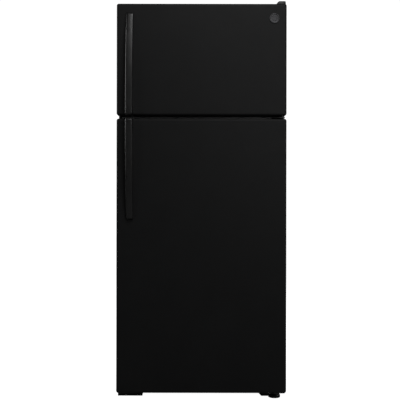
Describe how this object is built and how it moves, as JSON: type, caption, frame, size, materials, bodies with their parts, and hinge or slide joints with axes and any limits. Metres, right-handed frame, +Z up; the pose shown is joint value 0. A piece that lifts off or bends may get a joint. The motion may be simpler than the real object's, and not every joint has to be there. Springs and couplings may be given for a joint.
{
  "type": "top freezer refrigerator",
  "caption": "Upright two-door refrigerator with a freezer above, right-hinged black doors, bowed handles, shelves, drawers and cooling system.",
  "frame": {"origin": "on the floor, at the centre of the whole object's bounding box seen from above", "axes": "+Z up; the doors face -Y; +X to the right seen from the front, on the hinge side"},
  "size_m": [0.711, 0.845, 1.686],
  "materials": {
    "door_paint": "black enamel with a fine orange-peel texture, semi-gloss",
    "case_paint": "black, finely textured, satin",
    "black_plastic": "black, satin gloss",
    "dark_plastic": "dark grey, moulded matt",
    "white_liner": "white thermoformed sheet",
    "white_plastic": "white moulded, satin",
    "clear_plastic": "clear moulded",
    "foam": "rigid insulation foam",
    "gasket": "soft grey vinyl",
    "zinc_steel": "zinc plated",
    "galvanised_steel": "galvanised sheet",
    "black_steel": "black painted tube and wire",
    "badge_metal": "satin bright",
    "heater_metal": "bright tube",
    "aluminium": "mill finish",
    "compressor_enamel": "black enamel",
    "shelf_glass": "tempered, with moulded edge",
    "lamp_glass": "frosted",
    "rubber": "moulded black"
  },
  "bodies": {
    "cabinet": {"outer_case": "case_paint", "back_panel": "galvanised_steel", "base_pan": "galvanised_steel", "cabinet_foam": "foam", "fresh_food_liner": "white_liner", "freezer_liner": "white_liner", "centre_rail": "case_paint", "base_grille": "black_plastic", "roller_bracket_left": "zinc_steel", "roller_bracket_right": "zinc_steel", "top_hinge": "zinc_steel", "top_hinge_cover": "black_plastic", "centre_hinge": "black_steel", "bottom_hinge": "black_steel", "crisper_cover": "shelf_glass", "lower_shelf": "shelf_glass", "upper_shelf": "shelf_glass", "freezer_shelf": "white_plastic", "control_housing": "white_plastic", "lamp_bulb": "lamp_glass", "evaporator_cover": "white_plastic", "evaporator": "aluminium", "defrost_heater": "heater_metal", "evaporator_fan_motor": "galvanised_steel", "compressor": "compressor_enamel", "condenser": "black_steel", "condenser_fan_motor": "galvanised_steel", "drain_pan": "dark_plastic", "compressor_cover": "dark_plastic", "cord_inlet": "rubber"},
    "freezer_door": {"freezer_door_panel": "door_paint", "freezer_door_foam": "foam", "freezer_door_liner": "white_liner", "freezer_door_gasket": "gasket", "freezer_door_handle": "black_plastic", "freezer_door_bin_lower": "clear_plastic", "freezer_door_bin_upper": "clear_plastic", "badge": "badge_metal"},
    "fresh_food_door": {"fresh_food_door_panel": "door_paint", "fresh_food_door_foam": "foam", "fresh_food_door_liner": "white_liner", "fresh_food_door_gasket": "gasket", "fresh_food_door_handle": "black_plastic", "door_bin_lower": "clear_plastic", "door_bin_middle": "clear_plastic", "dairy_compartment": "white_plastic"},
    "dairy_lid": {"dairy_lid": "clear_plastic"},
    "crisper_left": {"crisper_drawer_left": "clear_plastic"},
    "crisper_right": {"crisper_drawer_right": "clear_plastic"},
    "light_switch": {"light_switch_plunger": "white_plastic"},
    "fresh_food_dial": {"fresh_food_dial": "white_plastic"},
    "freezer_dial": {"freezer_dial": "white_plastic"},
    "evaporator_fan": {"evaporator_fan_blades": "dark_plastic"},
    "condenser_fan": {"condenser_fan_blades": "dark_plastic"},
    "roller_left": {"rear_roller_left": "dark_plastic"},
    "roller_right": {"rear_roller_right": "dark_plastic"},
    "foot_left": {"levelling_foot_left": "dark_plastic"},
    "foot_right": {"levelling_foot_right": "dark_plastic"}
  },
  "joints": [
    {"name": "freezer_door_hinge", "type": "hinge", "parent": "cabinet", "child": "freezer_door", "pos_m": [0.3355, -0.3315, 1.43725], "axis": [0, 0, 1], "range_deg": [0, 130]},
    {"name": "fresh_food_door_hinge", "type": "hinge", "parent": "cabinet", "child": "fresh_food_door", "pos_m": [0.3355, -0.3315, 0.6165], "axis": [0, 0, 1], "range_deg": [0, 130]},
    {"name": "left_crisper_slide", "type": "slide", "parent": "cabinet", "child": "crisper_left", "axis": [0, -1, 0], "range_m": [0, 0.25]},
    {"name": "right_crisper_slide", "type": "slide", "parent": "cabinet", "child": "crisper_right", "axis": [0, -1, 0], "range_m": [0, 0.25]},
    {"name": "light_switch_slide", "type": "slide", "parent": "cabinet", "child": "light_switch", "axis": [0, -1, 0], "range_m": [0, 0.008]},
    {"name": "dairy_lid_hinge", "type": "hinge", "parent": "fresh_food_door", "child": "dairy_lid", "pos_m": [0, -0.1907, 1.093], "axis": [1, 0, 0], "range_deg": [0, 85]},
    {"name": "fresh_food_dial_turn", "type": "hinge", "parent": "cabinet", "child": "fresh_food_dial", "pos_m": [-0.07, -0.2403, 1.128], "axis": [0, -1, 0], "range_deg": [0, 270]},
    {"name": "freezer_dial_turn", "type": "hinge", "parent": "cabinet", "child": "freezer_dial", "pos_m": [0.07, -0.2403, 1.128], "axis": [0, -1, 0], "range_deg": [0, 270]},
    {"name": "evaporator_fan_spin", "type": "hinge", "parent": "cabinet", "child": "evaporator_fan", "pos_m": [0, 0.276, 1.53], "axis": [0, 1, 0], "continuous": true},
    {"name": "condenser_fan_spin", "type": "hinge", "parent": "cabinet", "child": "condenser_fan", "pos_m": [0.03, 0.31, 0.16], "axis": [1, 0, 0], "continuous": true},
    {"name": "left_roller_spin", "type": "hinge", "parent": "cabinet", "child": "roller_left", "pos_m": [-0.3, 0.35, 0.022], "axis": [1, 0, 0], "continuous": true},
    {"name": "right_roller_spin", "type": "hinge", "parent": "cabinet", "child": "roller_right", "pos_m": [0.3, 0.35, 0.022], "axis": [1, 0, 0], "continuous": true},
    {"name": "left_foot_turn", "type": "hinge", "parent": "cabinet", "child": "foot_left", "pos_m": [-0.316, -0.209, 0.03], "axis": [0, 0, 1], "continuous": true},
    {"name": "right_foot_turn", "type": "hinge", "parent": "cabinet", "child": "foot_right", "pos_m": [0.316, -0.2545, 0.03], "axis": [0, 0, 1], "continuous": true}
  ],
  "couplings": [
    {"joint": "left_crisper_slide", "follows": "fresh_food_door_hinge", "m_per_rad": 0.11},
    {"joint": "right_crisper_slide", "follows": "fresh_food_door_hinge", "m_per_rad": 0.11},
    {"joint": "light_switch_slide", "follows": "fresh_food_door_hinge", "m_per_rad": 0.0035}
  ]
}
